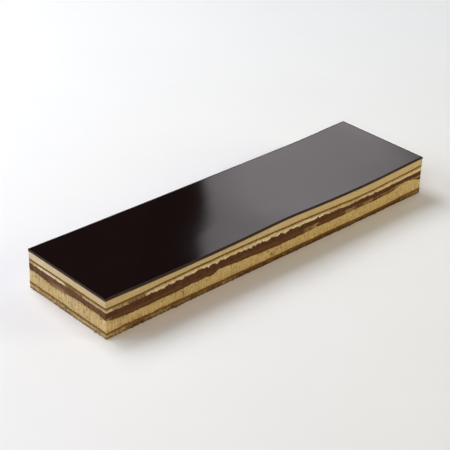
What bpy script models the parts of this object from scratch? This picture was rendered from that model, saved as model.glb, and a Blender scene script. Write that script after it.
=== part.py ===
"""Opera cake: one uncut strip, seven layers that run through it from end to end.

The strip stands on z = 0 with its length along X and its width along Y, and the
origin is at the middle of its underside. Sizes are in metres; the layers' heights
and swells are given in millimetres and scaled on use.
"""

import bpy
import bmesh
import numpy as np

MM = 0.001

# Driving dimensions.
LENGTH = 376 * MM
WIDTH = 101 * MM
GAP = 0.3 * MM  # air left between one layer and the next
THINNEST = 0.7 * MM  # no layer runs out to less than this

# The layers' surfaces are worked out at these places along and across the strip.
PLACES_ALONG = 34
PLACES_ACROSS = 8

# The cream steps up under the middle biscuit's cut edge, near the front face.
STEP_AT = -72 * MM
STEP_RISE = 2.9 * MM
STEP_WIDTH = 1.2 * MM
STEP_HALF_LENGTH = 3 * MM
STEP_FADES_OVER = 34 * MM
STEP_REACH_ACROSS = 34 * MM

# Each surface between two layers has a level and a few soft swells, in millimetres:
# place along, place across, reach along, reach across, rise.
ALL_ALONG = 900
ALL_ACROSS = 400
SURFACES = {
    "base_top": {
        "level": 4.6,
        "swells": [
            (-155, 0, 72, ALL_ACROSS, 1.2),
            (-188, 25, 25, 40, 0.4),
            (110, -50, 40, 50, -0.7),
            (188, -50, 28, 60, 1.1),
            (40, 50, 70, 40, 0.7),
        ],
    },
    "lower_cream_top": {
        "level": 14.4,
        "swells": [
            (-188, 0, 7, ALL_ACROSS, 3.2),
            (-188, 14, 7, 13, -1.0),
            (-188, -16, 7, 10, 1.3),
            (-90, -50, 18, 40, 0.9),
            (6, -50, 30, 40, -1.0),
            (168, -50, 15, 26, 5.0),
            (-60, 50, 60, 30, 1.4),
            (80, 50, 40, 30, -0.8),
            (188, 20, 12, 25, 1.8),
        ],
    },
    "middle_biscuit_top": {
        "level": 18.6,
        "swells": [
            (-92, -50, 18, 40, -0.9),
            (-43, -50, 26, 40, 1.3),
            (125, -50, 32, 40, -0.8),
            (168, -50, 14, 40, 1.9),
            (-60, 50, 60, 30, 0.9),
            (-188, -16, 20, 14, 0.9),
        ],
    },
    "ganache_top": {
        "level": 23.9,
        "swells": [
            (-188, 0, 12, ALL_ACROSS, 0.4),
            (-155, -50, 24, 50, -0.8),
            (-73, -50, 50, 50, 1.0),
            (112, -50, 50, 60, -2.3),
            (60, 50, 70, 40, 0.8),
            (188, 50, 40, 50, -0.9),
        ],
    },
    "upper_biscuit_top": {
        "level": 28.9,
        "swells": [
            (-166, -50, 26, 60, -0.8),
            (-80, -50, 60, 60, 0.9),
            (0, -50, 50, 60, 0.3),
            (105, -50, 47, 60, -2.2),
            (188, -50, 16, 60, 0.9),
            (-100, 50, 70, 50, -0.6),
        ],
    },
    "upper_cream_top": {
        "level": 34.3,
        "swells": [
            (-188, 0, 34, ALL_ACROSS, 0.7),
            (-98, -50, 60, 50, -0.4),
            (9, -50, 34, 45, 1.2),
            (102, -50, 45, 50, -0.6),
            (188, 0, 42, ALL_ACROSS, 1.9),
            (0, 50, ALL_ALONG, 55, 0.1),
            (-135, 50, 60, 50, 0.35),
        ],
    },
}
GLAZE_THICKNESS = 1.9 * MM
GLAZE_THINS_AT_RIGHT = 0.25 * MM

# How far each layer's cut side stands back from the strip's outline.
SET_BACK = {
    "base_biscuit": 0.15 * MM,
    "lower_buttercream": 0.3 * MM,
    "middle_biscuit": 0.4 * MM,
    "ganache": 0.35 * MM,
    "upper_biscuit": 0.3 * MM,
    "upper_buttercream": 0.1 * MM,
    "glaze": 0.0,
}
GLAZE_EDGE_ROUND = 0.6 * MM
BASE_DRAWN_IN = 0.6 * MM  # the underside's edge is crushed inwards by this
BASE_DRAWN_HEIGHT = 1.8 * MM

# Linear colour, roughness.
FINISHES = {
    "base_biscuit": ((0.150, 0.068, 0.024), 0.90),
    "lower_buttercream": ((0.520, 0.360, 0.165), 0.75),
    "middle_biscuit": ((0.115, 0.046, 0.014), 0.80),
    "ganache": ((0.072, 0.027, 0.012), 0.50),
    "upper_biscuit": ((0.600, 0.445, 0.240), 0.85),
    "upper_buttercream": ((0.560, 0.410, 0.205), 0.60),
    "glaze": ((0.008, 0.004, 0.003), 0.06),
}


def clear_scene():
    for thing in list(bpy.data.objects):
        bpy.data.objects.remove(thing, do_unlink=True)


def places():
    """Places along the strip, closer together at the step, and places across it."""
    even = np.linspace(-LENGTH / 2, LENGTH / 2, PLACES_ALONG)
    at_step = STEP_AT + np.array([-1, 0, 1]) * STEP_HALF_LENGTH
    away = np.abs(even[:, None] - at_step[None, :]).min(axis=1) > STEP_WIDTH
    along = np.sort(np.concatenate([even[away], at_step]))
    across = np.linspace(-WIDTH / 2, WIDTH / 2, PLACES_ACROSS)
    return along, across


def swelling(name, x, y):
    """A surface's height: its level and the sum of its bell-shaped swells."""
    height = np.full(x.shape, SURFACES[name]["level"] * MM)
    for along, across, reach_x, reach_y, rise in SURFACES[name]["swells"]:
        off_x = (x - along * MM) / (reach_x * MM)
        off_y = (y - across * MM) / (reach_y * MM)
        height = height + rise * MM * np.exp(-(off_x**2) - off_y**2)
    return height


def step(x, y):
    """A sharp rise at STEP_AT that fades along the strip and away from the front."""
    rise = STEP_RISE / (1 + np.exp(-(x - STEP_AT) / STEP_WIDTH))
    along = np.exp(-np.maximum(x - STEP_AT, 0) / STEP_FADES_OVER)
    across = np.exp(-(((y + WIDTH / 2) / STEP_REACH_ACROSS) ** 2))
    return rise * along * across


def surface_heights(x, y):
    """Heights of the strip's seven surfaces above its underside, lowest first.

    Each is held clear of the one below it by a layer's least thickness and a gap.
    """
    heights = [swelling(name, x, y) for name in SURFACES]
    heights[1] = heights[1] + step(x, y)
    heights[1] = np.minimum(heights[1], heights[2] - THINNEST - GAP)
    for upper in range(1, len(heights)):
        lowest = heights[upper - 1] + THINNEST + GAP
        heights[upper] = np.maximum(heights[upper], lowest)
    thinned = GLAZE_THINS_AT_RIGHT * np.clip(x / (LENGTH / 2), 0, 1)
    heights.append(heights[-1] + GLAZE_THICKNESS - thinned)
    return heights


def plan(set_back):
    """The grid of places, with its outermost rows moved in by set_back."""
    along, across = places()
    along = np.clip(along, -LENGTH / 2 + set_back, LENGTH / 2 - set_back)
    across = np.clip(across, -WIDTH / 2 + set_back, WIDTH / 2 - set_back)
    return np.meshgrid(along, across, indexing="ij")


def border(count_x, count_y):
    """Grid indices of the outline, anticlockwise seen from above."""
    front = [(i, 0) for i in range(count_x - 1)]
    right = [(count_x - 1, j) for j in range(count_y - 1)]
    back = [(i, count_y - 1) for i in range(count_x - 1, 0, -1)]
    left = [(0, j) for j in range(count_y - 1, 0, -1)]
    return front + right + back + left


def add_sheet(bm, grid, faces_up):
    """Vertices for a grid of points, joined by triangles facing up or down.

    Every cell is split along the same diagonal, so that a layer's top and the next
    one's underside are parallel everywhere.
    """
    x, y, z = grid
    count_x, count_y = x.shape
    vertices = {}
    for i in range(count_x):
        for j in range(count_y):
            vertices[i, j] = bm.verts.new((x[i, j], y[i, j], z[i, j]))
    for i in range(count_x - 1):
        for j in range(count_y - 1):
            near, far = vertices[i, j], vertices[i + 1, j + 1]
            right, back = vertices[i + 1, j], vertices[i, j + 1]
            if faces_up:
                bm.faces.new((near, right, far))
                bm.faces.new((near, far, back))
            else:
                bm.faces.new((near, far, right))
                bm.faces.new((near, back, far))
    return vertices


def add_wall(bm, lower_ring, upper_ring):
    """A band of outward-facing triangles between two rings of vertices."""
    count = len(lower_ring)
    for i in range(count):
        after = (i + 1) % count
        bm.faces.new((lower_ring[i], lower_ring[after], upper_ring[after]))
        bm.faces.new((lower_ring[i], upper_ring[after], upper_ring[i]))


def layer(name, lower, upper, lower_set_back, upper_set_back, waist=None):
    """One closed layer between two surfaces of the strip.

    The surfaces are counted from 0, the base's top; lower is None for the strip's
    flat underside. The wall runs straight from the lower sheet's outline to the upper
    sheet's, or through a waist: the set-back of a ring between them, and its height
    above the lower outline or, if negative, below the upper one.
    """
    low_x, low_y = plan(lower_set_back)
    high_x, high_y = plan(upper_set_back)
    low_z = np.zeros(low_x.shape)
    if lower is not None:
        low_z = surface_heights(low_x, low_y)[lower] + GAP
    high_z = surface_heights(high_x, high_y)[upper]

    bm = bmesh.new()
    low_sheet = add_sheet(bm, (low_x, low_y, low_z), faces_up=False)
    high_sheet = add_sheet(bm, (high_x, high_y, high_z), faces_up=True)
    outline = border(*low_x.shape)
    rings = [[low_sheet[at] for at in outline]]
    if waist is not None:
        waist_set_back, rise = waist
        waist_x, waist_y = plan(waist_set_back)
        level = low_z + rise if rise > 0 else high_z + rise
        ring = [bm.verts.new((waist_x[at], waist_y[at], level[at])) for at in outline]
        rings.append(ring)
    rings.append([high_sheet[at] for at in outline])
    for lower_ring, upper_ring in zip(rings, rings[1:]):
        add_wall(bm, lower_ring, upper_ring)

    mesh = bpy.data.meshes.new(name)
    bm.to_mesh(mesh)
    bm.free()
    made = bpy.data.objects.new(name, mesh)
    made.data.materials.append(finish(name))
    bpy.context.scene.collection.objects.link(made)
    return made


def finish(name):
    colour, roughness = FINISHES[name]
    material = bpy.data.materials.new(name)
    material.use_nodes = True
    shader = material.node_tree.nodes["Principled BSDF"]
    shader.inputs["Base Color"].default_value = (*colour, 1.0)
    shader.inputs["Roughness"].default_value = roughness
    shader.inputs["Metallic"].default_value = 0.0
    return material


def base_biscuit():
    """The bottom sponge, its lower edge crushed in where it was cut on the board."""
    side = SET_BACK["base_biscuit"]
    layer(
        "base_biscuit",
        None,
        0,
        side + BASE_DRAWN_IN,
        side,
        waist=(side, BASE_DRAWN_HEIGHT),
    )


def inner_layers():
    """The layers between the base and the glaze, each with an upright side."""
    inner = list(SET_BACK.items())[1:-1]
    for lower, (name, side) in enumerate(inner):
        layer(name, lower, lower + 1, side, side)


def glaze():
    """The poured chocolate on top, with a rounded upper edge."""
    side = SET_BACK["glaze"]
    underside = len(SURFACES) - 1
    layer(
        "glaze",
        underside,
        underside + 1,
        side,
        side + GLAZE_EDGE_ROUND,
        waist=(side, -GLAZE_EDGE_ROUND),
    )


clear_scene()
base_biscuit()
inner_layers()
glaze()
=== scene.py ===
import bmesh
import bpy
import numpy as np
from mathutils import Matrix, Vector


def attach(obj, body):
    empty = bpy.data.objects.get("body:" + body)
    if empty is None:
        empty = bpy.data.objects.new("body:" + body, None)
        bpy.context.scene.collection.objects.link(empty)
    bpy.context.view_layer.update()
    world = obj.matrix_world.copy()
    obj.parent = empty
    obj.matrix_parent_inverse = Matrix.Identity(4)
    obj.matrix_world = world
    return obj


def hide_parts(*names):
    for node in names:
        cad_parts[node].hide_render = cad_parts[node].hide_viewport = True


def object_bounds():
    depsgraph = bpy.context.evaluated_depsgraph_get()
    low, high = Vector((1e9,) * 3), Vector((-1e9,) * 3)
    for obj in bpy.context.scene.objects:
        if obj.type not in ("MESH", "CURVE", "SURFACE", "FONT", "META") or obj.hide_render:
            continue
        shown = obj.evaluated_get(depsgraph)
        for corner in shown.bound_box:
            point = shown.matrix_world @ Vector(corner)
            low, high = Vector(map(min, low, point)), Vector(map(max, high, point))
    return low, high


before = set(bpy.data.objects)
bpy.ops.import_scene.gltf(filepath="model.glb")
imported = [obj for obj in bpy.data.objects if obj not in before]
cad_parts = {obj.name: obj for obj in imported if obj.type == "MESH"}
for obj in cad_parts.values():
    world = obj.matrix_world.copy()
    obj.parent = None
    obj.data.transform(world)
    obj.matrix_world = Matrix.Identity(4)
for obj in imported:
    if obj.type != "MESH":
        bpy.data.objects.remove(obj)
cadLow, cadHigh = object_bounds()
print("frame loaded")

mm = 0.001
size = cadHigh - cadLow
halfLength = size.x / 2
halfWidth = size.y / 2

scene = bpy.context.scene
scene.view_settings.view_transform = "Standard"

camera = dict(
    azimuth=-43.708,  # degrees, 0 looks along +Y
    elevation=29.589,
    roll=1.753,
    target=(0, -0.0005, 0.01865),
    distance=1.21763,  # from the target
    aside=-0.011724,  # the camera's own shift to its right and up
    above=-0.005534,
    lens=110.989,
)


def addObject(name, data):
    made = bpy.data.objects.new(name, data)
    scene.collection.objects.link(made)
    return made


def makeCamera(spec):
    # back points from the strip to the camera; right and up are turned about it by the roll
    azimuth, elevation, roll = np.radians([spec["azimuth"], spec["elevation"], spec["roll"]])
    back = Vector((
        np.sin(azimuth) * np.cos(elevation),
        -np.cos(azimuth) * np.cos(elevation),
        np.sin(elevation),
    ))
    level = Vector((0, 0, 1)).cross(back).normalized()
    upright = back.cross(level)
    right = level * np.cos(roll) + upright * np.sin(roll)
    up = upright * np.cos(roll) - level * np.sin(roll)
    place = Vector(spec["target"]) + back * spec["distance"] + right * spec["aside"] + up * spec["above"]
    data = bpy.data.cameras.new("camera")
    data.lens = spec["lens"]
    data.clip_start = 0.01
    scene.camera = addObject("camera", data)
    scene.camera.matrix_world = Matrix.Translation(place) @ Matrix((right, up, back)).transposed().to_4x4()


makeCamera(camera)
print("camera set")

# the cut outline is walked anticlockwise from the front's left end
cut = dict(columns=2640, cornerRadius=0.5 * mm)
coarser = 12  # columns to each one of the hidden inner rings


def walkOutline(count, radius):
    # a rectangle with round corners: each of its four sides is a straight run and a quarter
    # circle, and the points are evenly spaced along the whole way round
    runs = np.array([size.x, size.y, size.x, size.y]) - 2 * radius
    quarter = radius * np.pi / 2
    starts = np.concatenate([[0], np.cumsum(runs + quarter)])
    walked = np.arange(count) * starts[-1] / count
    side = np.searchsorted(starts, walked, side="right") - 1
    onSide = walked - starts[side]
    straight = np.minimum(onSide, runs[side])
    turned = np.maximum(onSide - runs[side], 0) / radius
    heading = side * np.pi / 2
    startX = np.array([-halfLength + radius, halfLength, halfLength - radius, -halfLength])
    startY = np.array([-halfWidth, -halfWidth + radius, halfWidth, halfWidth - radius])
    outX, outY = np.sin(heading), -np.cos(heading)
    normalX, normalY = np.sin(heading + turned), -np.cos(heading + turned)
    x = startX[side] + np.cos(heading) * straight + radius * (normalX - outX)
    y = startY[side] + np.sin(heading) * straight + radius * (normalY - outY)
    return dict(x=x, y=y, normalX=normalX, normalY=normalY, walked=walked, total=starts[-1])


columns = cut["columns"]
way = walkOutline(columns, cut["cornerRadius"])
spacing = way["total"] / columns
# where on the way round the left end begins, at its back corner
leftEnd = 2 * size.x + size.y
leftMm = leftEnd / mm


def wander(step, seed):
    # a smooth closed curve from -1 to 1: random values about one step apart, eased between
    count = max(3, int(round(way["total"] / step)))
    values = np.random.default_rng(seed).uniform(-1, 1, count)
    place = way["walked"] / way["total"] * count
    cell = place.astype(int)
    ease = place - cell
    ease = ease * ease * (3 - 2 * ease)
    return values[cell % count] * (1 - ease) + values[(cell + 1) % count] * ease


fieldHeight = 50 * mm  # a little more than the strip's own, for the noise on its walls


def grainField(walked, height, wide, tall, seed):
    # smooth random bumps from -1 to 1 over the unrolled wall, wide by tall mm each: the four
    # lattice values round a point, eased across and up; the lattice closes round the outline
    wide, tall = wide * mm, tall * mm
    across = max(3, int(round(way["total"] / wide)))
    levels = int(np.ceil(fieldHeight / tall)) + 2
    lattice = np.random.default_rng(seed).uniform(-1, 1, (across, levels))
    u = walked / way["total"] * across
    v = np.clip(height / tall, 0, levels - 1.001)
    cellU, cellV = u.astype(int), v.astype(int)
    easeU, easeV = u - cellU, v - cellV
    easeU = easeU * easeU * (3 - 2 * easeU)
    easeV = easeV * easeV * (3 - 2 * easeV)
    before, after = cellU % across, (cellU + 1) % across
    low = lattice[before, cellV] * (1 - easeU) + lattice[after, cellV] * easeU
    high = lattice[before, cellV + 1] * (1 - easeU) + lattice[after, cellV + 1] * easeU
    return low * (1 - easeV) + high * easeV


def poreField(walked, height, cell, share, widest, stretch, seed):
    # round pits from 0 to 1 deep: each lattice cell may hold one of its own width at its own
    # place, and a point takes the deepest pit of its cell and the eight round it
    cell, widest = cell * mm, widest * mm
    across = int(round(way["total"] / cell))
    levels = int(np.ceil(fieldHeight / (cell * stretch))) + 3
    rng = np.random.default_rng(seed)
    shiftU, shiftV, width, chance = rng.uniform(0, 1, (4, across, levels))
    u = walked / way["total"] * across
    v = height / (cell * stretch) + 1
    cellU, cellV = np.floor(u).astype(int), np.floor(v).astype(int)
    deepest = np.zeros(walked.shape)
    for stepU in (-1, 0, 1):
        for stepV in (-1, 0, 1):
            i = (cellU + stepU) % across
            j = np.clip(cellV + stepV, 0, levels - 1)
            awayU = u - (cellU + stepU + shiftU[i, j])
            awayV = v - (cellV + stepV + shiftV[i, j])
            reach = widest / cell * (0.4 + 0.6 * width[i, j])
            near = 1 - (awayU**2 + awayV**2) / reach**2
            near = np.where(chance[i, j] < share, np.clip(near, 0, 1), 0)
            deepest = np.maximum(deepest, np.sqrt(near) * (0.5 + 0.5 * width[i, j]))
    return deepest


def grains(walked, heights, table):
    # the sum of smooth bumps: strength, width and height in mm, and seed
    return sum(strength * grainField(walked, heights, *rest) for strength, *rest in table)


def softened(values, reach):
    # a Gaussian blur of a closed curve, made in its spectrum
    waves = np.fft.rfftfreq(columns, spacing)
    return np.fft.irfft(np.fft.rfft(values) * np.exp(-2 * (np.pi * waves * reach) ** 2), columns)


def eased(low, high, value):
    # 0 on low's side, 1 on high's side, and smooth between them; low may be the higher one
    t = np.clip((value - low) / (high - low), 0, 1)
    return t * t * (3 - 2 * t)


def within(walked, start, end, blend):
    # 1 between two places on the way round, fading out over blend on either side
    return eased(start - blend, start + blend, walked) * (1 - eased(end - blend, end + blend, walked))


def strongest(s, table):
    # the highest of the strengths over stretches of the way round
    return np.max([strength * within(s, start, end, blend) for start, end, blend, strength in table], axis=0)


def stretched(s, table):
    # the sum of strengths over stretches of the way round: start, end, blend and strength
    return sum(strength * within(s, start, end, blend) for start, end, blend, strength in table)


def readSheet(nodeName, upper):
    # the heights of a CAD layer's top or underside over its own grid of places; a flat stretch
    # has no points inside it, so those are filled in from either side
    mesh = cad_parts[nodeName].data
    points = np.empty(len(mesh.vertices) * 3)
    mesh.vertices.foreach_get("co", points)
    points = points.reshape(-1, 3)
    along, atAlong = np.unique(np.round(points[:, 0], 5), return_inverse=True)
    across, atAcross = np.unique(np.round(points[:, 1], 5), return_inverse=True)
    highest = np.full((len(along), len(across)), -1.0)
    lowest = np.full((len(along), len(across)), 1.0)
    np.maximum.at(highest, (atAlong, atAcross), points[:, 2])
    np.minimum.at(lowest, (atAlong, atAcross), points[:, 2])
    heights = highest if upper else lowest
    both = highest - lowest > 0.1 * mm
    for row in range(len(across)):
        known = both[:, row]
        heights[:, row] = np.interp(along, along[known], heights[known, row])
    return along, across, heights


def sheetHeight(sheet, x, y):
    # the height between a sheet's four nearest places, in proportion to the distances
    along, across, heights = sheet
    i = np.clip(np.searchsorted(along, x) - 1, 0, len(along) - 2)
    j = np.clip(np.searchsorted(across, y) - 1, 0, len(across) - 2)
    u = np.clip((x - along[i]) / (along[i + 1] - along[i]), 0, 1)
    v = np.clip((y - across[j]) / (across[j + 1] - across[j]), 0, 1)
    front = heights[i, j] * (1 - u) + heights[i + 1, j] * u
    back = heights[i, j + 1] * (1 - u) + heights[i + 1, j + 1] * u
    return front * (1 - v) + back * v


plainLayers = ["lower_buttercream", "middle_biscuit", "ganache", "upper_biscuit", "upper_buttercream"]
sheets = [readSheet(plainLayers[0], False)] + [readSheet(name, True) for name in plainLayers]

# how ragged each of those surfaces is where the knife went through, lowest first, in mm: the
# wobble of a clean edge, that of a crumbly one, the depth of hanging tufts, and the seed
raggedness = [
    (0.25, 0.22, 0, 11),
    (0.2, 0.26, 0, 12),
    (0.35, 0.25, 0, 13),
    (0.15, 0.3, 1.1, 14),
    (0.12, 0.1, 0, 15),
    (0.06, 0.05, 0, 16),
]

# rises and dips of the surfaces at the cut, in mm: place on the way round, half width, rise
creamTopMarks = [
    (12, 4, 0.5), (79, 1.5, -0.5), (109.5, 3.2, -0.8), (113.5, 1.5, -0.5), (118, 2, 0.5),
    (311, 8, -0.6), (373, 5, -0.7), (leftMm + 9, 8, 0.4), (leftMm + 35, 9, -0.6),
    (leftMm + 65, 8, 0.7), (leftMm + 84, 8, 0.6), (leftMm + 90, 5, 0.4),
]
darkSpongeTopMarks = [(305, 30, -0.5)]
ganacheTopMarks = [
    (33, 8, 0.5), (45, 1.8, 0.9), (57, 1, -0.9), (59.3, 0.8, -0.9), (63.5, 1, 0.7), (68, 2.2, -0.6),
    (71.5, 0.8, 0.9), (78, 1.4, -0.9), (81, 1.2, 0.9), (91, 2, -0.6), (97, 2.6, 0.7), (107, 1.4, -1.4),
    (116.5, 1.8, -1.5), (120.5, 1.2, 1.1), (126, 1.5, -0.8), (131, 1.2, 0.6), (136, 1.5, -0.8),
    (140, 1.2, 0.7), (143.5, 1.2, -0.9), (146.5, 1, 0.6), (149.5, 1.3, -1.1), (155, 1.3, -0.9),
    (157.5, 1, 0.6), (160, 1, -0.7), (163.3, 1.4, 0.9), (168, 1.3, 1), (173.5, 1.8, -1.2),
    (179, 1.3, 0.9), (186, 1.8, -0.8), (190.3, 1.2, 1.1), (195.5, 1.7, -1.3), (202, 2, 0.9),
    (213, 1.6, -0.9), (219, 1.2, 0.7), (231, 2, -0.7), (236, 1, 0.8), (238.5, 1, -0.6),
    (244.3, 1.3, 1.5), (250, 1.6, -0.7), (262, 1.5, 0.4), (284, 2, 0.7), (290, 2.5, 0.4),
    (300, 1.5, 0.5), (304, 16, 0.7), (305.5, 2.5, -0.6), (310.5, 1.2, 0.6), (315, 1.5, -0.4),
    (334, 2, 0.6), (355, 5, 0.4), (leftMm + 60, 8, 0.5), (leftMm + 20, 12, -0.4),
]
crustMarks = [(leftMm + 10, 16, -0.5), (leftMm + 42, 8, -0.2), (20, 14, 0.2), (165, 25, 0.2)]


def marksAlong(marks):
    # the sum of bell-shaped rises along the way round
    place, half, rise = np.array(marks).T[:, :, None] * mm
    return (rise * np.exp(-(((way["walked"] - place) / half) ** 2))).sum(axis=0)


def edgeCurve(sheet, clean, crumbly, tufts, seed):
    # a surface's height all round the cut, with its wobble and its tufts; on the right end and
    # the back a tuft hangs where a slow curve passes zero, the deeper the nearer it is to it
    smooth = softened(sheetHeight(sheet, way["x"], way["y"]), 0.8 * mm)
    wobble = clean * wander(14 * mm, seed)
    fine = crumbly * (wander(1.3 * mm, seed + 100) + 0.7 * wander(3.1 * mm, seed + 200))
    slow = np.abs(wander(6.5 * mm, seed + 300))
    hidden = within(way["walked"], size.x, leftEnd, 2 * mm)
    hanging = tufts * hidden * (0.35 - np.clip(1 - slow / 0.42, 0, 1))
    return smooth + mm * (wobble + fine + hanging)


leftLip = 0.4 * mm  # the glaze hangs this much lower over the left end
thinnest = 0.12 * mm  # a layer is never thinner

edges = [edgeCurve(sheet, *values) for sheet, values in zip(sheets, raggedness)]
for index, marks in enumerate([creamTopMarks, darkSpongeTopMarks, ganacheTopMarks, crustMarks]):
    edges[index + 1] = edges[index + 1] + marksAlong(marks)
edges[5] = edges[5] - leftLip * within(way["walked"] / mm, leftMm, leftMm + size.y / mm, 1.5)
for upper in range(1, 6):
    edges[upper] = np.maximum(edges[upper], edges[upper - 1] + thinnest)
print("layer edges worked out")

capInsets = [3 * mm, 9 * mm, 20 * mm, 34 * mm, halfWidth - 0.3 * mm]
capClearance = 0.05 * mm  # between a layer's hidden face and the next layer's


def capRings(sheet, lift):
    # the hidden top or underside of a layer: coarse rings drawn in towards the middle line, on
    # the CAD surface lifted a little clear of the next layer
    inset = np.array(capInsets)[:, None]
    x = way["x"][::coarser] * (halfLength - inset) / halfLength
    y = way["y"][::coarser] * (halfWidth - inset) / halfWidth
    z = np.zeros(x.shape) if sheet is None else sheetHeight(sheet, x, y) + lift
    return np.stack([x, y, z], axis=-1)


def ringQuads(first, ringCount, perRing):
    # the quads between each closed ring of points and the next one, facing outwards
    ring = first + np.arange(ringCount - 1)[:, None] * perRing
    here = np.arange(perRing)[None, :]
    after = (here + 1) % perRing
    quads = np.stack([ring + here, ring + after, ring + after + perRing, ring + here + perRing], axis=-1)
    return quads.reshape(-1, 4).tolist()


def stitches(coarseFirst, fineFirst, upwards):
    # one face for each coarse column, with all the fine columns that it spans on its other side
    count = columns // coarser
    here = np.arange(count)[:, None]
    fine = fineFirst + (here * coarser + np.arange(coarser + 1)[None, :]) % columns
    coarse = coarseFirst + np.concatenate([(here + 1) % count, here], axis=1)
    if upwards:
        return np.concatenate([fine, coarse], axis=1).tolist()
    return np.concatenate([coarse[:, ::-1], fine[:, ::-1]], axis=1).tolist()


def finishPiece(name, points, faces, attributes):
    mesh = bpy.data.meshes.new(name)
    mesh.from_pydata(points.tolist(), [], faces)
    for attribute, values in attributes.items():
        layer = mesh.attributes.new(attribute, "FLOAT", "POINT")
        layer.data.foreach_set("value", np.asarray(values, np.float32))
    mesh.shade_smooth()
    mesh.set_sharp_from_angle(angle=np.radians(60))
    mesh.calc_loop_triangles()
    print(name, "made,", len(mesh.loop_triangles), "triangles")
    return addObject(name, mesh)


# every wall bows a little as the knife went along it
bow = 0.15 * mm * wander(70 * mm, 41) + 0.08 * mm * wander(23 * mm, 42)


def roughened(spec, walked, heights, fromFoot, fromTop):
    # a wall's relief: its smooth bumps, less its round pits and the lips along its two edges
    relief = mm * grains(walked, heights, spec["bumps"])
    for depth, *rest in spec["pits"]:
        relief = relief - depth * mm * poreField(walked, heights, *rest)
    depth, reach = spec.get("lip", (0, 1))
    near = np.clip(1 - np.minimum(fromFoot, fromTop) / (reach * mm), 0, 1)
    return relief - depth * mm * near**2


def layerPiece(name, index, spec, masks, shape=None):
    # the layer under the surface index: a rough wall, whose relief shape may change, its rows as
    # far apart as its columns, closed over by coarse rings above and below
    low = edges[index - 1] if index else np.zeros(columns)
    high = edges[index]
    rows = max(5, int(round(np.median(high - low) / spacing)))
    up = np.linspace(0, 1, rows + 1)[:, None]
    heights = low * (1 - up) + high * up
    walked = np.broadcast_to(way["walked"], heights.shape)
    relief = roughened(spec, walked, heights, heights - low, high - heights)
    if shape:
        relief = shape(relief, walked, heights, heights - low, high - heights)
    out = bow - spec["standBack"] + relief
    wall = np.stack([way["x"] + way["normalX"] * out, way["y"] + way["normalY"] * out, heights], axis=-1)
    under = capRings(sheets[index - 1] if index else None, capClearance)[::-1]
    over = capRings(sheets[index], -capClearance)
    points = np.concatenate([under.reshape(-1, 3), wall.reshape(-1, 3), over.reshape(-1, 3)])
    perRing = columns // coarser
    capCount = len(capInsets) * perRing
    wallEnd = capCount + (rows + 1) * columns
    faces = [list(range(perRing))[::-1]]
    faces += ringQuads(0, len(capInsets), perRing)
    faces += stitches(capCount - perRing, capCount, False)
    faces += ringQuads(capCount, rows + 1, columns)
    faces += stitches(wallEnd, wallEnd - columns, True)
    faces += ringQuads(wallEnd, len(capInsets), perRing)
    faces += [list(range(len(points) - perRing, len(points)))]
    values = dict(topDepth=high - heights, footRise=heights - low, **masks(walked, heights))
    ends = np.zeros(capCount)
    attributes = {key: np.concatenate([ends, value.ravel(), ends]) for key, value in values.items()}
    return finishPiece(name, points, faces, attributes)


def feed(tree, value, socket):
    # a link, a colour or a plain value goes into the socket
    if isinstance(value, bpy.types.NodeSocket):
        tree.links.new(value, socket)
    elif socket.type == "RGBA":
        socket.default_value = (*value, 1)
    else:
        socket.default_value = value


def addNode(tree, kind, settings=None, **inputs):
    made = tree.nodes.new(kind)
    for name, value in (settings or {}).items():
        setattr(made, name, value)
    for name, value in inputs.items():
        feed(tree, value, made.inputs[name.replace("_", " ")])
    return made


def maths(tree, operation, first, second=0.0, third=0.0, clamp=False):
    made = addNode(tree, "ShaderNodeMath", dict(operation=operation, use_clamp=clamp))
    for socket, value in zip(made.inputs, (first, second, third)):
        feed(tree, value, socket)
    return made.outputs[0]


def vectorMaths(tree, operation, first, second=(0, 0, 0)):
    made = addNode(tree, "ShaderNodeVectorMath", dict(operation=operation))
    feed(tree, first, made.inputs[0])
    feed(tree, second, made.inputs[1])
    return made.outputs


def blendColours(tree, amount, under, over):
    made = addNode(tree, "ShaderNodeMix", dict(data_type="RGBA"))
    for socket, value in ((made.inputs["Factor"], amount), (made.inputs[6], under), (made.inputs[7], over)):
        feed(tree, value, socket)
    return made.outputs[2]


def ramp(tree, value, low, high):
    # the same as eased, as a node
    smooth = dict(interpolation_type="SMOOTHSTEP")
    return addNode(tree, "ShaderNodeMapRange", smooth, Value=value, From_Min=low, From_Max=high).outputs[0]


def attributeOf(tree, name):
    return addNode(tree, "ShaderNodeAttribute", dict(attribute_name=name)).outputs["Fac"]


def newMaterial(name):
    material = bpy.data.materials.new(name)
    material.use_nodes = True
    return material, material.node_tree, material.node_tree.nodes["Principled BSDF"]


def newGroup(name, inputs, outputs):
    tree = bpy.data.node_groups.new(name, "ShaderNodeTree")
    for label, value in inputs.items():
        tree.interface.new_socket(label, in_out="INPUT", socket_type="NodeSocketFloat").default_value = value
    for label in outputs:
        tree.interface.new_socket(label, in_out="OUTPUT", socket_type="NodeSocketFloat")
    return tree, tree.nodes.new("NodeGroupInput").outputs, tree.nodes.new("NodeGroupOutput").inputs


def scaledPlace(tree, sideways, upwards):
    # Object coordinates divided by a size sideways and one upwards
    place = tree.nodes.new("ShaderNodeTexCoord").outputs["Object"]
    sizes = addNode(tree, "ShaderNodeCombineXYZ", X=sideways, Y=sideways, Z=upwards)
    return vectorMaths(tree, "DIVIDE", place, sizes.outputs[0])[0]


def mottleGroup():
    # soft cloudy patches, Size across and Tall high; a higher Softness blurs them into each other
    tree, given, result = newGroup("mottle", dict(Size=0.005, Tall=0.005, Softness=0.2), ["Value"])
    place = scaledPlace(tree, given["Size"], given["Tall"])
    noise = addNode(tree, "ShaderNodeTexNoise", Vector=place, Scale=1.0, Detail=3.0, Roughness=0.6)
    low = maths(tree, "SUBTRACT", 0.5, given["Softness"])
    high = maths(tree, "ADD", 0.5, given["Softness"])
    tree.links.new(ramp(tree, noise.outputs["Fac"], low, high), result["Value"])
    return tree


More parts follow.
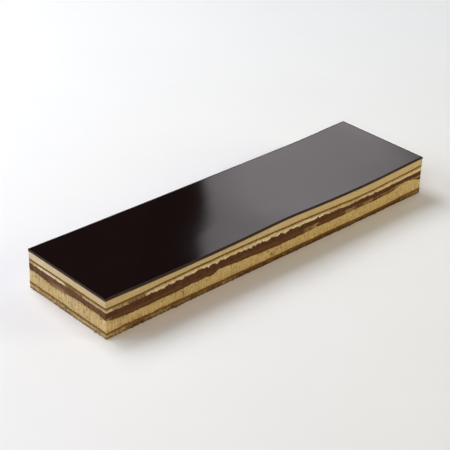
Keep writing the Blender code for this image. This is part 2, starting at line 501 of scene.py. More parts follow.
def poresGroup():
    # small round holes: Share of the cells, each Size across, hold one; Height falls inside it
    tree, given, result = newGroup("pores", dict(Size=0.001, Tall=0.001, Share=0.4), ["Mask", "Height"])
    place = scaledPlace(tree, given["Size"], given["Tall"])
    cells = addNode(tree, "ShaderNodeTexVoronoi", Vector=place, Scale=1.0, Randomness=1.0)
    chance = addNode(tree, "ShaderNodeSeparateColor", Color=cells.outputs["Color"]).outputs["Red"]
    holds = maths(tree, "LESS_THAN", chance, given["Share"])
    mask = maths(tree, "MULTIPLY", ramp(tree, cells.outputs["Distance"], 0.45, 0.12), holds)
    tree.links.new(mask, result["Mask"])
    tree.links.new(maths(tree, "SUBTRACT", 1.0, mask), result["Height"])
    return tree


def seamGroup():
    # a band from an edge inwards: Distance is the distance from that edge, and the band's own
    # edge wavers by Waver and blurs over Blur
    sockets = dict(Distance=0.0, Thickness=0.001, Waver=0.0002, Blur=0.0002)
    tree, given, result = newGroup("seam", sockets, ["Mask"])
    place = scaledPlace(tree, 0.0016, 0.004)
    noise = addNode(tree, "ShaderNodeTexNoise", Vector=place, Scale=1.0, Detail=2.0)
    sway = maths(tree, "MULTIPLY", maths(tree, "SUBTRACT", noise.outputs["Fac"], 0.5), given["Waver"])
    end = maths(tree, "ADD", given["Thickness"], maths(tree, "MULTIPLY", sway, 4.0))
    past = maths(tree, "SUBTRACT", given["Distance"], end)
    fade = maths(tree, "DIVIDE", past, given["Blur"])
    tree.links.new(maths(tree, "SUBTRACT", 0.5, fade, clamp=True), result["Mask"])
    return tree


groups = dict(mottle=mottleGroup(), pores=poresGroup(), seam=seamGroup())


def placeGroup(tree, name, **values):
    return addNode(tree, "ShaderNodeGroup", dict(node_tree=groups[name]), **values).outputs


def mottled(tree, sideways, upwards, softness):
    return placeGroup(tree, "mottle", Size=sideways, Tall=upwards, Softness=softness)["Value"]


def varied(tree, clouds, colour, share):
    # a colour that sinks to a share of itself in clouds
    return blendColours(tree, clouds, colour, tuple(share * channel for channel in colour))


def cutMaterial(name, look):
    # the cut face of a layer: two tones in clouds, knife streaks, holes darkened with painted shade, what
    # the knife has smeared over it, and dark seams along its top and its foot
    material, tree, shader = newMaterial(name)
    clouds = mottled(tree, *look["clouds"], 0.22)
    colour = blendColours(tree, clouds, look["tone"], look["otherTone"])
    if "patchColour" in look:
        colour = blendColours(tree, attributeOf(tree, "patch"), colour, look["patchColour"])
    streakColour, strength, wide, tall = look["streaks"]
    streaks = mottled(tree, wide, tall, 0.2)
    colour = blendColours(tree, maths(tree, "MULTIPLY", streaks, strength), colour, streakColour)
    # painted shade: the holes take a darker colour, for the shade inside them
    holeShadeColour, strength, wide, tall, share = look["holes"]
    holes = placeGroup(tree, "pores", Size=wide, Tall=tall, Share=share)
    colour = blendColours(tree, maths(tree, "MULTIPLY", holes["Mask"], strength), colour, holeShadeColour)
    if "smearColour" in look:
        colour = blendColours(tree, attributeOf(tree, "smear"), colour, look["smearColour"])
    for edge, distance in (("underSeam", "topDepth"), ("topSeam", "topDepth"), ("footSeam", "footRise")):
        if edge not in look:
            continue
        seamColour, strength, thickness, waver, blur = look[edge]
        sizes = dict(Distance=attributeOf(tree, distance), Thickness=thickness, Waver=waver, Blur=blur)
        band = maths(tree, "MULTIPLY", placeGroup(tree, "seam", **sizes)["Mask"], strength)
        if edge == "footSeam" and look.get("patchClearsFoot"):
            band = maths(tree, "MULTIPLY", band, maths(tree, "SUBTRACT", 1.0, attributeOf(tree, "patch")))
        colour = blendColours(tree, band, colour, seamColour)
    tree.links.new(colour, shader.inputs["Base Color"])
    smoothest, roughest = look["roughness"]
    rough = addNode(tree, "ShaderNodeMapRange", Value=clouds, To_Min=smoothest, To_Max=roughest)
    tree.links.new(rough.outputs[0], shader.inputs["Roughness"])
    shader.inputs["Specular IOR Level"].default_value = look["shine"]
    grainSize, strength, depth = look["grain"]
    relief = maths(tree, "MULTIPLY_ADD", streaks, 0.6, mottled(tree, grainSize, grainSize, 0.3))
    relief = maths(tree, "MULTIPLY_ADD", holes["Height"], 1.5, relief)
    bump = addNode(tree, "ShaderNodeBump", Strength=strength, Distance=depth, Height=relief)
    tree.links.new(bump.outputs[0], shader.inputs["Normal"])
    return material


def dress(piece, material, nodeName):
    piece.data.materials.append(material)
    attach(piece, "root")
    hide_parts(nodeName)


def makeLayer(name, nodeName, finish, index, spec, masks, shape=None):
    piece = layerPiece(name, index, spec, masks, shape)
    dress(piece, cutMaterial(finish, spec["look"]), nodeName)


# In each layer's dictionary the tables are in mm: a bump is strength, width, height and seed; a
# pit is depth, cell, share of cells that have one, widest radius, stretch upwards and seed; the
# lip is depth and reach; a stretch of the way round is start, end, blend and strength. Looks are
# in metres: clouds are width and height; streaks are colour, strength, width and height, and
# holes have a share too; a seam is colour, strength, thickness, waver and blur; grain is size,
# bump strength and depth.

baseBiscuit = dict(
    standBack=-0.02 * mm,
    bumps=[(0.26, 1.1, 0.9, 51), (0.156, 0.5, 0.5, 52)],
    pits=[(0.45, 1.9, 0.45, 0.9, 0.8, 53)],
    lip=(0.15, 0.5),
    footDrawnIn=0.08 * mm,
    footHeight=1.2 * mm,
    soaking=[(2, 24, 0.74), (125, 155, 0.24), (235, 260, 0.15), (335, 366, -0.56)],  # from, to, change
    stretches=[
        (12, 21, 3, -0.36), (44, 62, 5, -0.2), (90, 135, 10, -0.07),
        (leftMm + 28, leftMm + 58, 6, 0.3), (leftMm + 60, leftMm + 96, 5, -0.32),
    ],
    ragged=[(0.34, 4, 2.4, 56), (0.26, 1.6, 1.1, 57)],
    look=dict(
        tone=(0.71, 0.515, 0.25), otherTone=(0.43, 0.25, 0.09), clouds=(0.0034, 0.002),
        patchColour=(0.122, 0.056, 0.02),
        streaks=((0.15, 0.068, 0.024), 0.28, 0.0014, 0.003),
        holes=((0.07, 0.03, 0.01), 0.55, 0.0016, 0.0013, 0.28),
        topSeam=((0.195, 0.1, 0.022), 0.92, 0.0016, 0.0005, 0.0006),
        footSeam=((0.075, 0.045, 0.024), 0.74, 0.00115, 0.0008, 0.0007),
        roughness=(0.8, 0.95), shine=0.12, grain=(0.0005, 0.6, 0.0004),
    ),
)


def baseShape(rough, walked, heights, fromFoot, fromTop):
    # the crushed foot is drawn in as a quarter round
    spec = baseBiscuit
    share = np.clip(1 - fromFoot / spec["footHeight"], 0, 1) ** 2
    return rough - spec["footDrawnIn"] * (0.6 + 0.4 * wander(9 * mm, 54)) * share


def baseMasks(walked, heights):
    # the sponge is light on the left end and beside it, and soaked darker towards the right
    s = walked / mm
    soaked = sum(change * eased(start, end, s) for start, end, change in baseBiscuit["soaking"])
    soaked = soaked * (1 - within(s, leftMm - 3, leftMm + 105, 4)) + stretched(s, baseBiscuit["stretches"])
    return dict(patch=np.clip(soaked + grains(walked, heights, baseBiscuit["ragged"]), 0, 1))


makeLayer("baseBiscuit", "base_biscuit", "soakedSponge", 0, baseBiscuit, baseMasks, baseShape)


lowerCream = dict(
    standBack=0.12 * mm,
    bumps=[(0.18, 9, 5, 67), (0.14, 0.8, 7, 65), (0.084, 2.4, 12, 66)],
    pits=[
        (0.3, 1.5, 0.3, 0.65, 1.4, 62), (0.18, 0.9, 0.35, 0.42, 1.2, 63), (0.33, 5, 0.22, 1.3, 1.2, 64),
    ],
    lip=(0.2, 0.5),
    markDepth=0.3 * mm,
    hollowDepth=0.6 * mm,  # of the hollow along the right end
    hollowHeight=10.5 * mm,
    hollowReach=3.2 * mm,
    fringe=[(leftMm + 20, leftMm + 50, 5, 0.3), (leftMm - 2, leftMm + 97, 2, 0.25)],
    look=dict(
        tone=(0.69, 0.497, 0.23), otherTone=(0.8, 0.606, 0.308), clouds=(0.008, 0.005),
        streaks=((0.445, 0.28, 0.102), 0.72, 0.0012, 0.012),
        holes=((0.3, 0.155, 0.045), 0.8, 0.0023, 0.003, 0.3),
        smearColour=(0.17, 0.08, 0.025),
        topSeam=((0.33, 0.19, 0.06), 0.6, 0.0002, 0.0002, 0.0004),
        roughness=(0.65, 0.82), shine=0.2, grain=(0.0006, 0.5, 0.0003),
    ),
)

# brown marks on the cut face: place on the way round, height, half width, half height, strength;
# the places on the left end are counted from its back corner
creamMarks = [
    (79.5, 10.2, 0.7, 2.4, 0.65), (77.2, 12.6, 0.5, 1, 0.5), (83.5, 11.4, 0.4, 1.6, 0.35),
    (86.5, 10.6, 0.4, 1.8, 0.3), (175.5, 12, 0.9, 0.9, 0.6), (180, 8.4, 1.5, 1, 0.65),
    (183.5, 9.2, 1, 0.9, 0.5), (186.5, 10.4, 1.2, 0.7, 0.45), (191.5, 9.4, 1, 0.7, 0.35),
    (182, 6.6, 1.3, 0.6, 0.4), (71, 13, 0.6, 0.9, 0.35), (108.5, 13.2, 0.5, 0.9, 0.3),
]
leftMarks = [
    (13.2, 10.5, 0.35, 3.6, 0.5), (25.6, 11, 0.35, 4.6, 0.5), (9, 14.8, 1.4, 0.8, 0.5),
    (41, 9.6, 1.3, 0.7, 0.35), (55, 10, 0.8, 1.6, 0.35), (72.5, 12.4, 0.6, 1.7, 0.55),
    (69.5, 10.4, 0.7, 0.9, 0.4), (66, 17.4, 0.7, 0.5, 0.6), (75.4, 16, 0.8, 0.9, 0.6),
    (80.5, 16.8, 0.9, 0.6, 0.4), (93, 16, 1.2, 0.8, 0.5), (44, 8.5, 0.4, 2.4, 0.3),
]
creamMarks += [(leftMm + place, *rest) for place, *rest in leftMarks]


def marked(walked, heights):
    # soft oval spots, the strongest of them where they meet, with edges broken up by fine noise
    broken = 0.35 * grainField(walked, heights, 0.8, 0.8, 61)
    darkest = np.zeros(heights.shape)
    for place, height, wide, tall, strength in creamMarks:
        off = ((walked / mm - place) / wide) ** 2 + ((heights / mm - height) / tall) ** 2
        darkest = np.maximum(darkest, 1.35 * strength * np.exp(-0.7 * np.clip(off + broken, 0, 40)))
    return darkest


def lowerCreamShape(rough, walked, heights, fromFoot, fromTop):
    # the brown marks are pressed in, and the right end is hollow along its middle
    spec = lowerCream
    off = (heights - spec["hollowHeight"]) / spec["hollowReach"]
    hollow = within(walked / mm, 375, 478, 1.5) * np.exp(-(off**2))
    return rough - spec["markDepth"] * marked(walked, heights) - spec["hollowDepth"] * hollow


def lowerCreamMasks(walked, heights):
    # the marks, faint brown drawn down from the biscuit above, and a faint painted shade over the front half
    # of the left end
    s = walked / mm
    belowTop = edges[1] - heights
    drawn = 0.25 * eased(0.25, 0.9, grainField(walked, heights, 1.0, 9, 68))
    smear = marked(walked, heights) + drawn * eased(2.2 * mm, 0, belowTop)
    corner = 0.3 * within(s, 4, 22, 4) * eased(4.5 * mm, 0, belowTop)
    torn = 0.7 + 0.5 * grainField(walked, heights, 1.6, 4, 69)
    fringe = stretched(s, lowerCream["fringe"]) * torn * eased(2.6 * mm, 0, belowTop)
    # painted shade over the front half of the left end, carried by the smear mask
    paintedShade = 0.05 * within(s, leftMm + 55, leftMm + 101, 8)
    return dict(smear=np.clip(smear + corner + fringe + paintedShade, 0, 1))


makeLayer(
    "lowerButtercream", "lower_buttercream", "coffeeCream", 1,
    lowerCream, lowerCreamMasks, lowerCreamShape,
)


middleBiscuit = dict(
    standBack=0.3 * mm,
    bumps=[(0.2, 1, 0.8, 71), (0.12, 0.5, 0.5, 72)],
    pits=[(0.35, 1.7, 0.4, 0.8, 0.8, 73)],
    gapRise=0.2 * mm,  # the cream in a gap stands further out, and is smoother by this share
    gapSmoother=0.7,
    # where cream shows in place of this biscuit
    creamGaps=[
        (-6, 4.5, 1.5, 1), (218.5, 231, 1.5, 0.5), (231, 236.5, 1.5, 1), (273, 281, 1.5, 0.8),
        (296, 309, 1.5, 0.75), (324, 338, 1.5, 0.35),
    ],
    wavering=[(2.2, 2.4, 1.3, 74), (1, 0.9, 0.8, 75)],
    look=dict(
        tone=(0.125, 0.058, 0.02), otherTone=(0.185, 0.09, 0.034), clouds=(0.004, 0.002),
        patchColour=(0.5, 0.33, 0.135),
        streaks=((0.07, 0.028, 0.01), 0.5, 0.0012, 0.004),
        holes=((0.06, 0.024, 0.008), 0.6, 0.0014, 0.0011, 0.35),
        footSeam=((0.075, 0.03, 0.005), 0.85, 0.0008, 0.0004, 0.0005), patchClearsFoot=True,
        roughness=(0.75, 0.9), shine=0.15, grain=(0.0005, 0.5, 0.0003),
    ),
)


def leftFade(walked, heights):
    # on one stretch of the left end cream is dragged up through the dark layers, less with height
    torn = 1 + 0.3 * grainField(walked, heights, 1.8, 4, 77)
    fade = within(walked / mm, leftMm + 30, leftMm + 52, 8) * eased(21.2 * mm, 16.6 * mm, heights)
    return np.clip(0.85 * fade * torn, 0, 1)


def middleMasks(walked, heights):
    # cream in the gaps, and above the stray piece at the right end
    s = walked / mm + grains(walked, heights, middleBiscuit["wavering"])
    broken = grainField(walked, heights, 1.9, 1.1, 76)
    patch = np.clip(strongest(s, middleBiscuit["creamGaps"]) * (1 + 0.7 * broken), 0, 1)
    flecks = 0.9 * within(s, 268, 338, 5) * eased(0.15, 0.75, broken)
    runOut = within(s, 339, 365, 1.5) * eased(19.4 * mm, 18.8 * mm, heights)
    stray = within(s, 366, 377, 0.8) * eased(17.4 * mm, 17.9 * mm, heights)
    return dict(patch=np.max([patch, flecks, runOut, stray, leftFade(walked, heights)], axis=0))


def middleShape(rough, walked, heights, fromFoot, fromTop):
    gap = middleMasks(walked, heights)["patch"]
    return rough * (1 - middleBiscuit["gapSmoother"] * gap) + middleBiscuit["gapRise"] * gap


makeLayer("middleBiscuit", "middle_biscuit", "darkSponge", 2, middleBiscuit, middleMasks, middleShape)


ganache = dict(
    standBack=0.25 * mm,
    bumps=[(0.13, 0.8, 6, 81), (0.091, 2.2, 10, 82)],
    pits=[(0.3, 3, 0.18, 0.8, 1.3, 83)],
    lip=(0.15, 0.5),
    # the lighter stretch over the left end is painted sheen from the back-left light
    lighter=[(leftMm - 2, leftMm + 99, 3, 0.55), (240, 290, 12, 0.1)],
    torn=[(1, 2.2, 4, 84), (0.6, 0.9, 3, 85)],
    look=dict(
        tone=(0.088, 0.03, 0.0115), otherTone=(0.064, 0.021, 0.0075), clouds=(0.006, 0.003),
        patchColour=(0.17, 0.078, 0.029), smearColour=(0.48, 0.31, 0.15),
        streaks=((0.15, 0.066, 0.03), 0.45, 0.0012, 0.006),
        holes=((0.04, 0.016, 0.008), 0.5, 0.0022, 0.002, 0.15),
        roughness=(0.55, 0.7), shine=0.12, grain=(0.0007, 0.35, 0.0002),
    ),
)


def ganacheMasks(walked, heights):
    # painted sheen: the whole left end is lighter, for the gloss that the grazing back-left light gives it;
    # it is also a little lighter from 240 to 290 mm, and cream is dragged through it on one stretch of the
    # left end
    light = stretched(walked / mm, ganache["lighter"]) * (1 + 0.7 * grains(walked, heights, ganache["torn"]))
    return dict(patch=np.clip(light, 0, 1), smear=leftFade(walked, heights))


makeLayer("ganacheLayer", "ganache", "ganacheCut", 3, ganache, ganacheMasks)


upperBiscuit = dict(
    standBack=0.2 * mm,
    bumps=[(0.14, 0.9, 0.7, 91), (0.084, 0.5, 0.5, 92)],
    pits=[(0.25, 1.6, 0.3, 0.7, 0.8, 93)],
    groove=0.06 * mm,  # along the browned skin at its top
    # where ganache is smeared over it, and where the sponge is whiter
    smears=[
        (6, 19, 2, 0.95), (19, 40, 2, 1.2), (250, 292, 5, 0.2), (leftMm - 8, leftMm + 8, 3, 0.5),
        (leftMm + 48, leftMm + 71, 2.5, 1.35), (leftMm + 70, leftMm + 97, 3, 0.55),
    ],
    whiter=[
        (42, 122, 8, 0.3), (150, 246, 8, 0.42), (200, 244, 5, 0.24), (leftMm + 10, leftMm + 46, 4, 0.6),
    ],
    look=dict(
        tone=(0.65, 0.49, 0.26), otherTone=(0.9, 0.76, 0.48), clouds=(0.006, 0.0022),
        patchColour=(0.98, 0.87, 0.62), smearColour=(0.15, 0.07, 0.03),
        streaks=((0.45, 0.3, 0.13), 0.35, 0.0014, 0.003),
        holes=((0.4, 0.25, 0.1), 0.5, 0.0016, 0.0013, 0.25),
        underSeam=((0.4, 0.235, 0.07), 0.52, 0.003, 0.0006, 0.0016),
        topSeam=((0.17, 0.084, 0.01), 0.97, 0.00175, 0.0004, 0.0009),
        roughness=(0.8, 0.92), shine=0.08, grain=(0.0005, 0.5, 0.0003),
    ),
)


def upperBiscuitShape(rough, walked, heights, fromFoot, fromTop):
    return rough - upperBiscuit["groove"] * eased(1.1 * mm, 0.2 * mm, fromTop)


def upperBiscuitMasks(walked, heights):
    # vertical smears, denser near the ganache and torn into streaks
    s = walked / mm
    torn = 0.5 + 0.5 * grainField(walked, heights, 1.4, 5, 94)
    fine = 0.5 + 0.5 * grainField(walked, heights, 0.6, 3, 95)
    smear = strongest(s, upperBiscuit["smears"]) * (0.55 + 0.6 * torn * fine)
    aboveFoot = heights - edges[3]
    touch = eased(0.8 * mm, 0, aboveFoot) * 0.45 * torn
    cloudy = 1 + 0.8 * grainField(walked, heights, 4, 1.6, 96)
    white = stretched(s, upperBiscuit["whiter"]) * cloudy * eased(3.6 * mm, 1.6 * mm, aboveFoot)
    return dict(smear=np.clip(np.maximum(smear, touch), 0, 1), patch=np.clip(white, 0, 1))


makeLayer(
    "upperBiscuit", "upper_biscuit", "paleSponge", 4,
    upperBiscuit, upperBiscuitMasks, upperBiscuitShape,
)


upperCream = dict(
    standBack=0.05 * mm,
    bumps=[(0.05, 1, 5, 102), (0.05, 4, 6, 103)],
    pits=[(0.2, 2.2, 0.18, 0.5, 1, 101)],
    footDrawnIn=0.25 * mm,
    look=dict(
        tone=(0.57, 0.415, 0.205), otherTone=(0.64, 0.48, 0.25), clouds=(0.011, 0.004),
        # the patch colour is painted light: the paler, bluer look of the left end under the back-left light
        patchColour=(0.69, 0.555, 0.35),
        streaks=((0.5, 0.34, 0.15), 0.3, 0.0016, 0.005),
        holes=((0.4, 0.25, 0.1), 0.4, 0.0022, 0.002, 0.12),
        roughness=(0.58, 0.72), shine=0.25, grain=(0.0007, 0.3, 0.0002),
    ),
)


def upperCreamShape(rough, walked, heights, fromFoot, fromTop):
    return rough - upperCream["footDrawnIn"] * eased(0.6 * mm, 0, fromFoot)


def upperCreamMasks(walked, heights):
    # painted light: paler and bluer on the left end, most of all at its back corner, where the cool light
    # from the back-left falls; and a little paler from 90 to 205 mm along the front
    s = walked / mm
    pale = within(s, leftMm, leftMm + 101, 1) * (0.92 - 0.66 * eased(leftMm + 5, leftMm + 68, s))
    cloudy = 1 + 0.3 * grainField(walked, heights, 6, 3, 104)
    return dict(patch=np.clip(pale * cloudy + 0.24 * within(s, 90, 205, 15), 0, 1))


makeLayer(
    "upperButtercream", "upper_buttercream", "smoothCream", 5,
    upperCream, upperCreamMasks, upperCreamShape,
)


glaze = dict(
    thickness=1.9 * mm,
    thinsAtRight=0.25 * mm,
    rimRadius=0.35 * mm,
    edgeReach=1.15 * mm,  # how far in over the rounded rim the dull edge goes
    cleanShare=0.32,  # the share of that on the clean-cut left end
    spacing=2 * mm,
    edgeRows=5,
    ripple=0.01 * mm,
    calm=30 * mm,  # how far the surface is evened out, away from its edges
    colour=(0.0085, 0.0045, 0.004),
    roughness=0.055,
    edgeColour=(0.058, 0.038, 0.026),
    edgeOther=(0.036, 0.022, 0.014),
    stripColour=(0.017, 0.009, 0.006),
    edgeRoughness=0.62,
    edgeShine=0.12,
)


def stations(half, spec):
    # places from one edge to the other: close together over the rounded rim, then evenly spaced
    near = np.array([0, 0.08, 0.2, 0.36, 0.6, 1.0, 1.7, 2.6, 3.8]) * spec["rimRadius"]
    inner = half - near[-1]
    even = np.linspace(-inner, inner, int(round(2 * inner / spec["spacing"])) + 1)
    return np.concatenate([-half + near[:-1], even, half - near[:-1][::-1]])


def evenedSheet(sheet, x, y, reach):
    # the mean of a sheet over two rings and their middle, which rounds off the grid's creases
    total = 2 * sheetHeight(sheet, x, y)
    for turn in np.arange(8) * np.pi / 4:
        for far in (0.5 * reach, reach):
            total = total + sheetHeight(sheet, x + far * np.cos(turn), y + far * np.sin(turn))
    return total / 18  # twice the middle and eight places on each ring


def insetOf(x, y):
    # the distance to the nearest of the four sides
    return np.minimum(halfLength - np.abs(x), halfWidth - np.abs(y))


def glazeHeights(x, y, spec):
    # the top cream's surface, evened out away from the edges, and the glaze's own: its
    # thickness above that, slow ripples, and a rim that falls away as a quarter circle
    sheet = evenedSheet(sheets[5], x, y, np.minimum(insetOf(x, y), spec["calm"]))
    underside = sheet - leftLip * eased(2 * mm, 0, x + halfLength)
    thinned = spec["thinsAtRight"] * np.clip(x / halfLength, 0, 1)
    ripples = np.sin(x / 0.031 + 2 * np.sin(y / 0.027)) * np.cos(y / 0.019 + 1.3 * np.sin(x / 0.043))
    short = np.clip(1 - insetOf(x, y) / spec["rimRadius"], 0, 1)
    rim = spec["rimRadius"] * (1 - np.sqrt(1 - short**2))
    return underside, sheet + spec["thickness"] - thinned + spec["ripple"] * ripples - rim


def glazePiece(spec):
    # a closed slab: a grid on top and one below, joined by rows of quads round its upright edge
    along, across = stations(halfLength, spec), stations(halfWidth, spec)
    x, y = np.meshgrid(along, across, indexing="ij")
    underside, top = glazeHeights(x, y, spec)
    countX, countY = x.shape
    index = np.arange(countX * countY).reshape(countX, countY)
    cells = np.stack([index[:-1, :-1], index[1:, :-1], index[1:, 1:], index[:-1, 1:]], axis=-1)
    cells = cells.reshape(-1, 4)
    rim = np.concatenate([index[:-1, 0], index[-1, :-1], index[:0:-1, -1], index[0, :0:-1]])
    topPoints = np.stack([x, y, top], axis=-1).reshape(-1, 3)
    lowPoints = np.stack([x, y, underside], axis=-1).reshape(-1, 3)
    rows = spec["edgeRows"]
    share = np.arange(1, rows)[:, None, None] / rows
    wall = lowPoints[rim] * (1 - share) + topPoints[rim] * share
    upper = countX * countY
    between = 2 * upper + np.arange((rows - 1) * len(rim)).reshape(rows - 1, -1)
    rings = np.concatenate([[rim], between, [rim + upper]])
    here, after = rings, np.roll(rings, -1, axis=1)
    band = np.stack([here[:-1], after[:-1], after[1:], here[1:]], axis=-1).reshape(-1, 4)
    points = np.concatenate([lowPoints, topPoints, wall.reshape(-1, 3)])
    quads = np.concatenate([cells[:, ::-1], cells + upper, band])
    inset = insetOf(points[:, 0], points[:, 1])
    strip = np.concatenate([np.zeros(upper), np.ones(upper), np.zeros(wall.shape[0] * wall.shape[1])])
    made = finishPiece("glazeSheet", points, quads.tolist(), dict(strip=strip * (inset > 0)))
    onLeft = points[:, 0] + halfLength < inset + 0.01 * mm
    reach = spec["edgeReach"] * np.where(onLeft, spec["cleanShare"], 1.0)
    atEdge = ((inset - reach)[quads].mean(axis=1) < 0).astype(np.int32)
    made.data.polygons.foreach_set("material_index", atEdge)
    return made


def glazeMaterial(spec):
    material, tree, shader = newMaterial("mirrorGlaze")
    haze = mottled(tree, 0.04, 0.04, 0.3)
    tree.links.new(varied(tree, haze, spec["colour"], 0.9), shader.inputs["Base Color"])
    tree.links.new(maths(tree, "MULTIPLY_ADD", haze, 0.02, spec["roughness"]), shader.inputs["Roughness"])
    return material


def glazeEdgeMaterial(spec):
    # the knife-cut edge of the glaze: dull, brown and a little torn
    material, tree, shader = newMaterial("glazeEdge")
    clouds = mottled(tree, 0.005, 0.0015, 0.25)
    colour = blendColours(tree, clouds, spec["edgeColour"], spec["edgeOther"])
    colour = blendColours(tree, attributeOf(tree, "strip"), colour, spec["stripColour"])
    tree.links.new(colour, shader.inputs["Base Color"])
    shader.inputs["Roughness"].default_value = spec["edgeRoughness"]
    shader.inputs["Specular IOR Level"].default_value = spec["edgeShine"]
    torn = mottled(tree, 0.001, 0.0006, 0.4)
    bump = addNode(tree, "ShaderNodeBump", Strength=0.3, Distance=0.0001, Height=torn)
    tree.links.new(bump.outputs[0], shader.inputs["Normal"])
    return material


piece = glazePiece(glaze)
dress(piece, glazeMaterial(glaze), "glaze")
piece.data.materials.append(glazeEdgeMaterial(glaze))
print("glaze made")


strayCrumbs = dict(
    count=70,
    clusters=(37, 75, 265),  # places along the front, in mm, where more of them lie
    inClusters=5,
    smallest=0.22 * mm,
    largest=0.75 * mm,
    furthest=0.7 * mm,  # from the foot
    lumpiness=0.28,
    clusterSpread=1.3 * mm,
    seed=121,
    look=dict(
        tone=(0.11, 0.05, 0.018), otherTone=(0.24, 0.13, 0.05), clouds=(0.0012, 0.0012),
        streaks=((0.07, 0.03, 0.011), 0.4, 0.0006, 0.0006),
        holes=((0.05, 0.022, 0.009), 0.4, 0.0006, 0.0006, 0.3),
        roughness=(0.8, 0.95), shine=0.12, grain=(0.0003, 0.5, 0.0002),
    ),
)


def crumbsPiece(spec):
    # each crumb is a ball whose radius swells by a sum of three sines over the directions; it
    # lies on the ground against the foot
    rng = np.random.default_rng(spec["seed"])
    ball = bmesh.new()
    bmesh.ops.create_icosphere(ball, subdivisions=2, radius=1)
    directions = np.array([point.co for point in ball.verts])
    triangles = np.array([[point.index for point in face.verts] for face in ball.faces])
    ball.free()
    near = np.repeat(spec["clusters"], spec["inClusters"]) * mm
    near = near + rng.normal(0, spec["clusterSpread"], len(near))
    places = np.concatenate([near, rng.uniform(0, way["total"], spec["count"])]) % way["total"]
    count = len(places)
    at = (places / spacing).astype(int) % columns
    radius = spec["smallest"] + (spec["largest"] - spec["smallest"]) * rng.uniform(0, 1, count) ** 2
    away = rng.uniform(0, 1, count) * spec["furthest"]
    waves = rng.normal(0, 1.8, (count, 3, 3))
    starts = rng.uniform(0, 2 * np.pi, (count, 3, 1))
    lumps = np.sin(waves @ directions.T + starts).sum(axis=1) / 3
    stretch = rng.uniform(0.7, 1.25, (count, 1, 3))
    shape = directions[None] * (1 + spec["lumpiness"] * lumps)[..., None] * stretch * radius[:, None, None]
    middleX = way["x"][at] + way["normalX"][at] * away
    middleY = way["y"][at] + way["normalY"][at] * away
    middle = np.stack([middleX, middleY, -shape[..., 2].min(axis=1)], axis=-1)
    points = (shape + middle[:, None, :]).reshape(-1, 3)
    faces = (triangles[None] + np.arange(count)[:, None, None] * len(directions)).reshape(-1, 3)
    return finishPiece("strayCrumbs", points, faces.tolist(), {})


piece = crumbsPiece(strayCrumbs)
piece.data.materials.append(cutMaterial("crumb", strayCrumbs["look"]))
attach(piece, "root")
print("crumbs made")


surroundings = dict(
    seen=(0.86, 0.86, 0.86),
    light=(0.02, 0.02, 0.02),
    mirrored=(0.012, 0.006, 0.007),
    glow=(0.66, 0.63, 0.65),  # what the glaze mirrors from the rest of the room
    darkAzimuth=58,  # the middle of the dark stretch, in degrees from +X
    darkCore=0.62,  # the cosine of the angle from there at which the glow sets in
)

floor = dict(
    reach=20,
    colour=(0.825, 0.822, 0.808),
    roughness=0.8,
    shine=0.2,
    fadeFrom=0.66,  # beyond this distance it turns into the pale background
    fadeTo=1.3,
)


def makeFloor(spec):
    corners = np.array([(-1, -1, 0), (1, -1, 0), (1, 1, 0), (-1, 1, 0)]) * spec["reach"]
    made = finishPiece("floor", corners, [(0, 1, 2, 3)], {})
    material, tree, shader = newMaterial("palePaper")
    clouds = mottled(tree, 0.12, 0.12, 0.5)
    tree.links.new(varied(tree, clouds, spec["colour"], 0.97), shader.inputs["Base Color"])
    shader.inputs["Roughness"].default_value = spec["roughness"]
    shader.inputs["Specular IOR Level"].default_value = spec["shine"]
    # the far floor is as pale as the surroundings where it is looked at, and gives no light itself
    place = tree.nodes.new("ShaderNodeTexCoord").outputs["Object"]
    away = vectorMaths(tree, "LENGTH", place)["Value"]
    far = ramp(tree, away, spec["fadeFrom"], spec["fadeTo"])
    looked = tree.nodes.new("ShaderNodeLightPath").outputs["Is Camera Ray"]
    pale = addNode(tree, "ShaderNodeEmission", Color=surroundings["seen"])
    mixed = addNode(tree, "ShaderNodeMixShader", Fac=maths(tree, "MULTIPLY", far, looked))
    tree.links.new(shader.outputs[0], mixed.inputs[1])
    tree.links.new(pale.outputs[0], mixed.inputs[2])
    tree.links.new(mixed.outputs[0], tree.nodes["Material Output"].inputs["Surface"])
    made.data.materials.append(material)


lightSide = 0.9
# place, power, colour and whether the glaze mirrors it
lights = dict(
    window=((-0.1, 1.09, 1.3), 20.4, (0.94, 0.943, 1.0), True),
    sideWindow=((-1.04, 1.04, 0.85), 9.4, (1.0, 0.928, 0.908), False),
    sky=((-1.33, 0.62, 0.85), 8.2, (0.51, 0.85, 1.0), False),
    right=((1.44, 0.31, 0.85), 5.5, (0.64, 0.754, 1.0), False),
    left=((-0.98, -0.69, 1.2), 7.8, (1.0, 0.757, 0.78), False),
    warmFill=((1.03, -1.22, 0.58), 11.7, (1.0, 0.956, 0.487), False),
)


def makeLight(name, place, power, colour, mirrored):
    # a soft square light turned to face the strip
    data = bpy.data.lights.new(name, "AREA")
    data.shape = "SQUARE"
    data.size = lightSide
    data.energy = power
    data.color = colour
    made = addObject(name, data)
    place = Vector(place)
    made.matrix_world = Matrix.Translation(place) @ place.to_track_quat("Z", "Y").to_matrix().to_4x4()
    made.visible_glossy = mirrored


# a tall pale screen behind the strip, seen only in the glaze: it brightens quickly from its soft
# left edge, then slowly, and dims again towards its right edge
screen = dict(
    azimuth=47.2,
    distance=2.2,
    span=1.2,
    foot=0.1,
    height=3.4,
    softFrom=0.0235,  # the soft edge begins this far left of its line and ends this far right
    softTo=0.01,
    firstShare=0.8,
    slowRise=0.12,
    dimFrom=0.37,
    dimTo=0.6,
    dimming=0.48,
    strength=1.6,
    colour=(1.0, 0.945, 0.985),
)


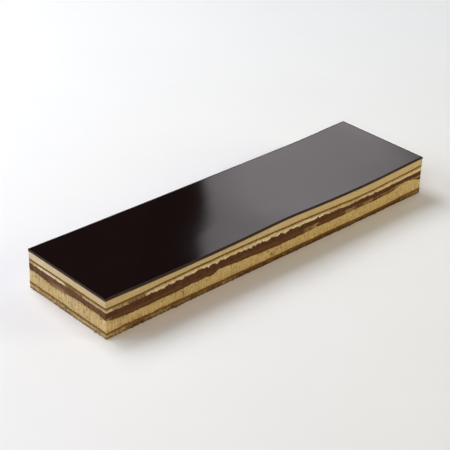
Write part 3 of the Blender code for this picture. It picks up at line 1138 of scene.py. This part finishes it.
def makeScreen(spec):
    eye = scene.camera.matrix_world.translation
    turn = np.radians(spec["azimuth"])
    ahead = Vector((np.cos(turn), np.sin(turn), 0))
    rightwards = Vector((np.sin(turn), -np.cos(turn), 0))
    reach = spec["distance"] - eye.dot(ahead)
    edge = Vector((eye.x, eye.y, 0)) + ahead * reach
    ends = [-6 * spec["softFrom"], spec["span"]]
    levels = [spec["foot"], spec["foot"] + spec["height"]]
    places = [(ends[0], levels[0]), (ends[0], levels[1]), (ends[1], levels[1]), (ends[1], levels[0])]
    corners = np.array([edge + rightwards * along + Vector((0, 0, level)) for along, level in places])
    along = [along for along, level in places]
    made = finishPiece("screen", corners, [(0, 1, 2, 3)], dict(along=along))
    material, tree, shader = newMaterial("screenGlow")
    tree.nodes.remove(shader)
    along = attributeOf(tree, "along")
    quick = ramp(tree, along, -spec["softFrom"], spec["softTo"])
    slow = maths(tree, "MULTIPLY", ramp(tree, along, 0.0, spec["slowRise"]), 1 - spec["firstShare"])
    dim = maths(tree, "MULTIPLY", ramp(tree, along, spec["dimFrom"], spec["dimTo"]), spec["dimming"])
    level = maths(tree, "SUBTRACT", maths(tree, "ADD", slow, spec["firstShare"]), dim)
    bright = maths(tree, "MULTIPLY", maths(tree, "MULTIPLY", quick, level), spec["strength"])
    glow = addNode(tree, "ShaderNodeEmission", Color=spec["colour"], Strength=bright)
    tree.links.new(glow.outputs[0], tree.nodes["Material Output"].inputs["Surface"])
    made.data.materials.append(material)
    made.visible_camera = made.visible_diffuse = made.visible_shadow = False


def makeWorld(spec):
    # pale where it is looked at and dimmer as a light; the glaze mirrors a soft glow all round,
    # except for a dark stretch behind the strip
    world = bpy.data.worlds.new("surroundings")
    world.use_nodes = True
    tree = world.node_tree
    path = tree.nodes.new("ShaderNodeLightPath")
    colour = blendColours(tree, path.outputs["Is Camera Ray"], spec["light"], spec["seen"])
    turn = np.radians(spec["darkAzimuth"])
    direction = tree.nodes.new("ShaderNodeTexCoord").outputs["Generated"]
    facing = vectorMaths(tree, "DOT_PRODUCT", direction, (np.cos(turn), np.sin(turn), 0))["Value"]
    glowing = ramp(tree, facing, spec["darkCore"], 0.0)
    mirrored = blendColours(tree, glowing, spec["mirrored"], spec["glow"])
    colour = blendColours(tree, path.outputs["Is Glossy Ray"], colour, mirrored)
    tree.links.new(colour, tree.nodes["Background"].inputs["Color"])
    scene.world = world


makeFloor(floor)
for name, spec in lights.items():
    makeLight(name, *spec)
makeScreen(screen)
makeWorld(surroundings)
print("floor and light set")
